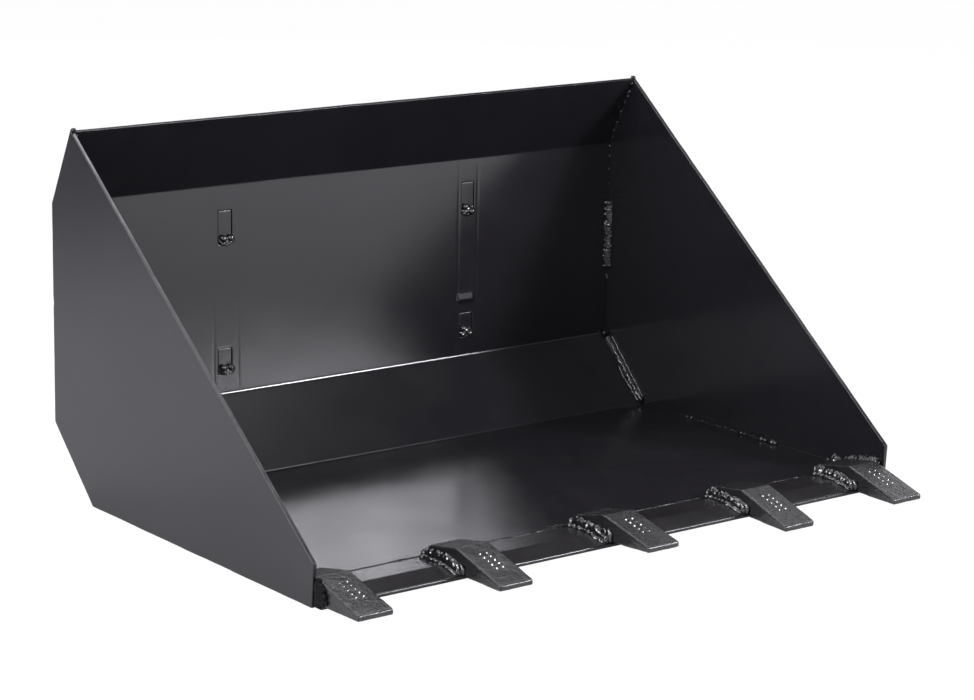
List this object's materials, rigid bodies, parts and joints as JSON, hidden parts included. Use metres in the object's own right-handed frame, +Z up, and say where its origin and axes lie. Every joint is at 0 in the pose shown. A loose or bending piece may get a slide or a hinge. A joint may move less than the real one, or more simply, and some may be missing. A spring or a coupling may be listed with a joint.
{
  "type": "skid steer bucket",
  "caption": "Compact loader bucket: folded steel shell, side plates, bevelled cutting edge with weld-on teeth, and a welded hook and pin hitch frame behind.",
  "frame": {"origin": "on the underside of the cutting edge at mid width, on the line through the bottom front corners of the side plates", "axes": "+X across the bucket to the right as seen from the open front, +Y from the teeth towards the hitch, +Z up from the ground when the bucket sits level"},
  "size_m": [1.067, 0.8214, 0.549],
  "materials": {
    "body_paint": "semi-gloss black paint over rolled plate, light orange peel",
    "edge_paint": "semi-gloss black paint over a bevelled bar",
    "tooth_cast": "dull black paint over a rough sand-cast surface",
    "hitch_paint": "semi-gloss black paint over thick flame-cut plate",
    "weld_paint": "glossy black paint over rippled weld beads"
  },
  "bodies": {
    "root": {"cutting_edge": "edge_paint", "hitch_latch_ledge": "hitch_paint", "hitch_rib_left": "hitch_paint", "hitch_rib_right": "hitch_paint", "hitch_top_bar": "hitch_paint", "shell_sheet": "body_paint", "side_plate_left": "body_paint", "side_plate_right": "body_paint", "tooth_1": "tooth_cast", "tooth_2": "tooth_cast", "tooth_3": "tooth_cast", "tooth_4": "tooth_cast", "tooth_5": "tooth_cast", "weld_edge_seam": "weld_paint", "weld_edge_underside": "weld_paint", "weld_inside_left": "weld_paint", "weld_inside_right": "weld_paint", "weld_latch_ledge": "weld_paint", "weld_outside_left": "weld_paint", "weld_outside_right": "weld_paint", "weld_plugs_left": "weld_paint", "weld_plugs_right": "weld_paint", "weld_rib_left": "weld_paint", "weld_rib_right": "weld_paint", "weld_tooth_1": "weld_paint", "weld_tooth_2": "weld_paint", "weld_tooth_3": "weld_paint", "weld_tooth_4": "weld_paint", "weld_tooth_5": "weld_paint", "weld_under_floor": "weld_paint"}
  },
  "joints": []
}
